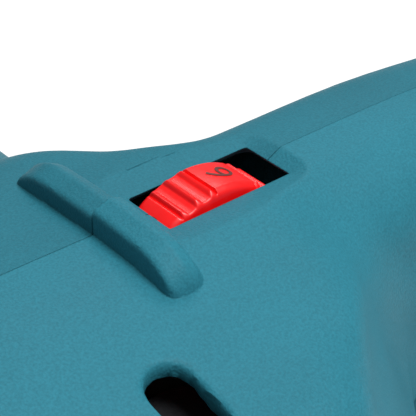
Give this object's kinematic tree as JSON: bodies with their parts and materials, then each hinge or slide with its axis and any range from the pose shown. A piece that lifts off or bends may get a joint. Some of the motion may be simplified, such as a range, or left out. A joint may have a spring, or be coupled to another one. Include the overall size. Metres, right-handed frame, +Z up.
{
  "type": "electric hand planer",
  "caption": "Hand-held power planer with a two-half plastic housing, closed rear handle, cast base, belt-driven blade drum, thumbwheel speed dial and front depth knob.",
  "frame": {"origin": "middle of the bounding box at the level of the sole", "axes": "+X is the planing direction, +Y is the operator's left, +Z is up"},
  "size_m": [0.3141, 0.152, 0.1648],
  "materials": {
    "housing_plastic": "moulded, fine spark-eroded grain",
    "black_plastic": "moulded, satin",
    "red_plastic": "moulded, smooth",
    "pale_plastic": "glass-filled, matt",
    "cast_aluminium": "die cast, shot blasted",
    "machined_aluminium": "milled and ground",
    "bright_steel": "ground",
    "screw_steel": "zinc plated",
    "motor_iron": "stacked laminations",
    "copper": "enamelled copper wire",
    "carbon": "pressed carbon",
    "black_rubber": "moulded rubber"
  },
  "bodies": {
    "housing": {"left_housing_shell": "housing_plastic", "right_housing_shell": "housing_plastic", "housing_screw_1": "screw_steel", "housing_screw_2": "screw_steel", "housing_screw_3": "screw_steel", "housing_screw_4": "screw_steel", "housing_screw_5": "screw_steel", "housing_screw_6": "screw_steel", "belt_cover_screw_1": "screw_steel", "belt_cover_screw_2": "screw_steel", "belt_cover_screw_3": "screw_steel", "belt_cover": "black_plastic", "base_frame": "cast_aluminium", "rear_shoe": "machined_aluminium", "rear_shoe_screw_1": "screw_steel", "rear_shoe_screw_2": "screw_steel", "rear_shoe_screw_3": "screw_steel", "rear_shoe_screw_4": "screw_steel", "depth_scale_ring": "red_plastic", "drum_bearing_left": "bright_steel", "drum_bearing_right": "bright_steel", "drum_end_cap": "black_plastic", "motor_stator": "motor_iron", "field_coil_upper": "copper", "field_coil_lower": "copper", "motor_bearing_left": "bright_steel", "motor_bearing_right": "bright_steel", "carbon_brush_1": "carbon", "carbon_brush_2": "carbon", "brush_holder_1": "black_plastic", "brush_holder_2": "black_plastic", "brush_cap_1": "black_plastic", "brush_cap_2": "black_plastic", "drive_belt": "black_rubber", "speed_control_module": "black_plastic", "power_switch": "black_plastic", "cable_gland": "black_rubber", "chip_outlet": "black_plastic"},
    "cutter": {"cutter_drum": "machined_aluminium", "blade_a": "bright_steel", "blade_b": "bright_steel", "blade_clamp_a": "machined_aluminium", "blade_clamp_b": "machined_aluminium", "clamp_screw_a1": "screw_steel", "clamp_screw_a2": "screw_steel", "clamp_screw_b1": "screw_steel", "clamp_screw_b2": "screw_steel", "drum_shaft": "bright_steel", "drum_pulley": "black_plastic"},
    "armature": {"armature_shaft": "bright_steel", "armature_core": "motor_iron", "commutator": "copper", "cooling_fan": "pale_plastic", "drive_pulley": "bright_steel"},
    "knob": {"depth_knob": "black_plastic", "depth_screw": "bright_steel"},
    "front_shoe": {"front_shoe": "machined_aluminium"},
    "trigger": {"trigger": "red_plastic"},
    "lock_button": {"lock_button": "black_plastic"},
    "speed_dial": {"speed_dial": "red_plastic"}
  },
  "joints": [
    {"name": "cutter_spin", "type": "hinge", "parent": "housing", "child": "cutter", "pos_m": [0.029, -0.002, 0.028], "axis": [0, 1, 0], "continuous": true},
    {"name": "motor_spin", "type": "hinge", "parent": "housing", "child": "armature", "pos_m": [0.019, -0.002, 0.114], "axis": [0, 1, 0], "continuous": true},
    {"name": "knob_turn", "type": "hinge", "parent": "housing", "child": "knob", "pos_m": [0.115, -0.002, 0.08], "axis": [0, 0, 1], "range_deg": [0, 360]},
    {"name": "front_shoe_lift", "type": "slide", "parent": "housing", "child": "front_shoe", "axis": [0, 0, 1], "range_m": [0, 0.003]},
    {"name": "trigger_pull", "type": "hinge", "parent": "housing", "child": "trigger", "pos_m": [-0.0475, -0.002, 0.128], "axis": [0, 1, 0], "range_deg": [0, 7], "stiffness_Nm_per_rad": 0.6, "springref_deg": -5.73},
    {"name": "lock_press", "type": "slide", "parent": "housing", "child": "lock_button", "axis": [0, -1, 0], "range_m": [0, 0.003], "stiffness_N_per_m": 200, "springref_m": -0.004},
    {"name": "speed_dial_turn", "type": "hinge", "parent": "housing", "child": "speed_dial", "pos_m": [-0.0151, -0.002, 0.1438], "axis": [0, 1, 0], "range_deg": [-300, 0]}
  ],
  "couplings": [
    {"joint": "motor_spin", "follows": "cutter_spin", "ratio": 1.5},
    {"joint": "knob_turn", "follows": "front_shoe_lift", "rad_per_m": 2094}
  ]
}
